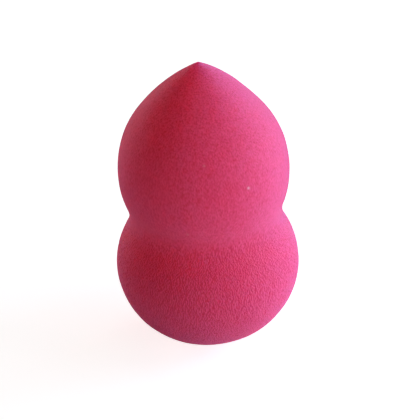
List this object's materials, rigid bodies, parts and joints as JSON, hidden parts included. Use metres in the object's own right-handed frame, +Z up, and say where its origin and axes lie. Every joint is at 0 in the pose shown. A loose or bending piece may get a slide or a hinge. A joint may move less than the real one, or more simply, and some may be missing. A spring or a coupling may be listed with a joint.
{
  "type": "make-up blending sponge",
  "caption": "Gourd-shaped make-up sponge of solid fine-celled foam: a pointed upper lobe, a shallow waist to grip and a larger round lower lobe, for dabbing on powder or foundation.",
  "frame": {"origin": "middle of the flat on the bottom of the lower lobe, on which the sponge stands", "axes": "+Z up along the sponge's axis, from the blunt base to the pointed tip; the sponge is round about it, so +X and +Y are free"},
  "size_m": [0.039, 0.039, 0.0631],
  "materials": {
    "foam": "matt crimson-pink polyurethane foam with a fine, velvety, open-celled surface"
  },
  "bodies": {
    "root": {"foam_sponge": "foam"}
  },
  "joints": []
}
